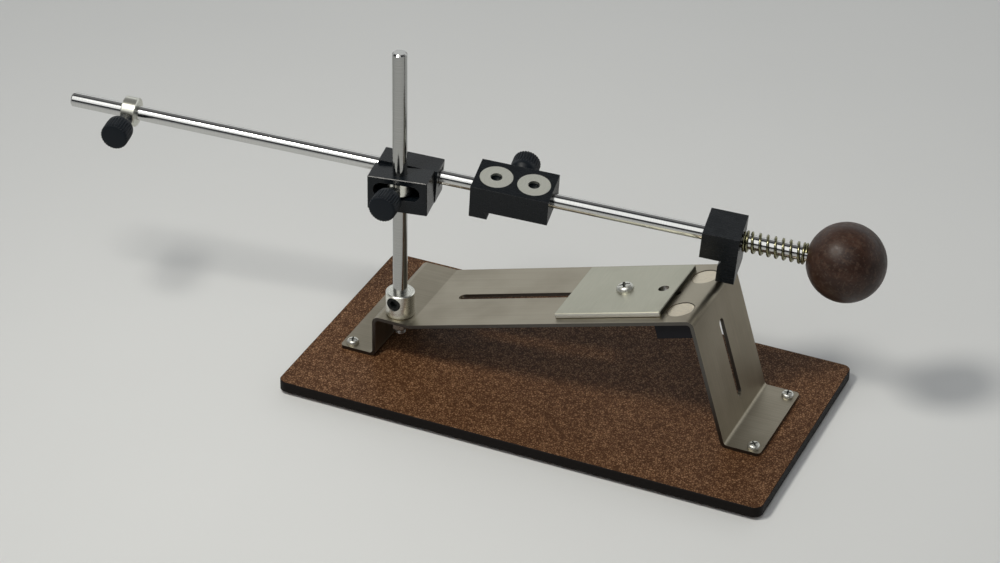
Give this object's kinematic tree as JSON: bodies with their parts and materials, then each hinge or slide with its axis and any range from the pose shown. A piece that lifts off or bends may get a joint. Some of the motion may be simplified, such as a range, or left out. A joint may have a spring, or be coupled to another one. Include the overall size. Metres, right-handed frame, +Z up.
{
  "type": "knife honing guide",
  "caption": "Bent steel frame on a board with a sliding blade table; a swivelling, tilting guide rod on a post carries stone clamps, a spring and a ball handle.",
  "frame": {"origin": "centre of the board's flat underside, 2 mm above the bottom of the rubber feet", "axes": "+X along the board and the deck, towards the ball handle; +Y to the back, away from the thumb screws' side; +Z up"},
  "size_m": [0.4471, 0.148, 0.195],
  "materials": {
    "board": "satin",
    "rubber": "matte",
    "frame_steel": "brushed",
    "zinc_screws": "satin",
    "magnet_bar": "matte",
    "magnets": "satin",
    "boss": "satin",
    "black_steel": "black oxide",
    "rods": "ground",
    "table_plate": "satin",
    "collars": "turned",
    "knobs": "satin",
    "studs": "turned",
    "black_blocks": "black anodised, satin",
    "bush": "matte",
    "ball": "satin varnish",
    "insert": "turned",
    "washers": "satin",
    "spring": "yellow zinc"
  },
  "bodies": {
    "base": {"base_board": "board", "rubber_feet": "rubber", "bent_frame": "frame_steel", "frame_screws": "zinc_screws", "magnet_bar": "magnet_bar", "disc_magnets": "magnets", "post_boss": "boss", "post_set_screw": "black_steel", "boss_washer": "zinc_screws", "boss_nut": "zinc_screws", "boss_stud": "zinc_screws", "post": "rods"},
    "table": {"table_plate": "table_plate", "table_screw": "zinc_screws", "table_washer": "zinc_screws", "table_nut": "zinc_screws"},
    "carriage": {"post_collar": "collars"},
    "post_thumb_screw": {"post_knob": "knobs", "post_knob_stud": "studs"},
    "swivel": {"swivel_block": "black_blocks", "pivot_screw": "black_steel"},
    "carrier": {"rod_carrier": "black_blocks", "rod_bush": "bush", "thrust_washer": "bush"},
    "rod": {"guide_rod": "rods", "ball_handle": "ball", "ball_insert": "insert", "clamp_spring": "spring"},
    "stop": {"stop_collar": "collars"},
    "stop_thumb_screw": {"stop_knob": "knobs", "stop_knob_stud": "studs"},
    "fixed_jaw": {"fixed_clamp": "black_blocks", "clamp_washers": "washers"},
    "jaw_thumb_screw": {"clamp_knob": "knobs", "clamp_knob_stud": "studs"},
    "sprung_jaw": {"sprung_clamp": "black_blocks"}
  },
  "joints": [
    {"name": "table_slide", "type": "slide", "parent": "base", "child": "table", "axis": [0.9604, 0, 0.2786], "range_m": [-0.084, 0.01]},
    {"name": "carriage_slide", "type": "slide", "parent": "base", "child": "carriage", "axis": [0, 0, 1], "range_m": [0, 0.07]},
    {"name": "post_knob_turn", "type": "hinge", "parent": "carriage", "child": "post_thumb_screw", "pos_m": [-0.0914, -0.0197, 0.11298], "axis": [0.0837, -0.9965, 0], "range_deg": [0, 360]},
    {"name": "arm_swing", "type": "hinge", "parent": "carriage", "child": "swivel", "pos_m": [-0.0914, -0.0197, 0.1102], "axis": [0, 0, 1], "range_deg": [-35, 35]},
    {"name": "arm_lift", "type": "hinge", "parent": "swivel", "child": "carrier", "pos_m": [-0.09462, -0.00493, 0.10503], "axis": [-0.1678, 0.9858, 0], "range_deg": [-30, 0]},
    {"name": "rod_slide", "type": "slide", "parent": "carrier", "child": "rod", "axis": [0.9829, 0.1673, -0.0769], "range_m": [-0.004, 0.09]},
    {"name": "stop_slide", "type": "slide", "parent": "rod", "child": "stop", "axis": [0.9829, 0.1673, -0.0769], "range_m": [-0.028, 0.026]},
    {"name": "stop_knob_turn", "type": "hinge", "parent": "stop", "child": "stop_thumb_screw", "pos_m": [-0.24884, -0.03118, 0.12612], "axis": [0.1636, -0.9851, -0.0522], "range_deg": [0, 360]},
    {"name": "fixed_jaw_slide", "type": "slide", "parent": "rod", "child": "fixed_jaw", "axis": [0.9829, 0.1673, -0.0769], "range_m": [-0.004, 0.08]},
    {"name": "jaw_knob_turn", "type": "hinge", "parent": "fixed_jaw", "child": "jaw_thumb_screw", "pos_m": [-0.0353, 0.00517, 0.10941], "axis": [-0.1549, 0.9771, 0.1457], "range_deg": [0, 360]},
    {"name": "sprung_jaw_slide", "type": "slide", "parent": "rod", "child": "sprung_jaw", "axis": [0.9829, 0.1673, -0.0769], "range_m": [0, 0.018], "stiffness_N_per_m": 3600, "deforming": ["clamp_spring"]}
  ]
}
